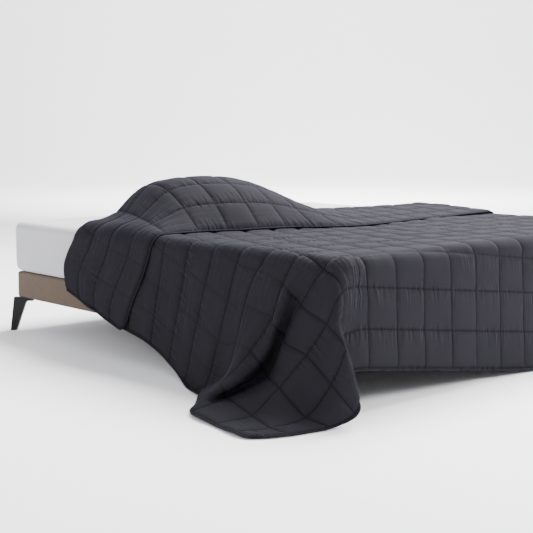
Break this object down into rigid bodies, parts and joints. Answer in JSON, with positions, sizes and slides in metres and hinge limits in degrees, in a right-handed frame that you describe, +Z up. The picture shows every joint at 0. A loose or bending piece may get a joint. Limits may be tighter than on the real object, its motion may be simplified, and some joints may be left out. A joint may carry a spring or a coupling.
{
  "type": "weighted blanket on a bed",
  "caption": "Quilted weighted blanket draped over a low platform bed with its mattress, folded back in a loose hump and falling to the floor at one foot corner.",
  "frame": {"origin": "middle of the overall bounding box, on the floor that the legs and the blanket's corner stand on", "axes": "+X from the bed's head to its foot, +Y from its near side, where the blanket's corner falls to the floor, to its far side, +Z up"},
  "size_m": [2.2038, 2.3578, 0.6988],
  "materials": {
    "charcoal_quilted_cloth": "matte brushed knit, quilted in squares",
    "white_mattress_cover": "matte knit",
    "beige_upholstery": "matte woven",
    "black_painted_metal": "satin"
  },
  "bodies": {
    "root": {"blanket": "charcoal_quilted_cloth", "mattress": "white_mattress_cover", "bed_base": "beige_upholstery", "leg_head_near": "black_painted_metal", "leg_head_far": "black_painted_metal", "leg_foot_near": "black_painted_metal", "leg_foot_far": "black_painted_metal"}
  },
  "joints": []
}
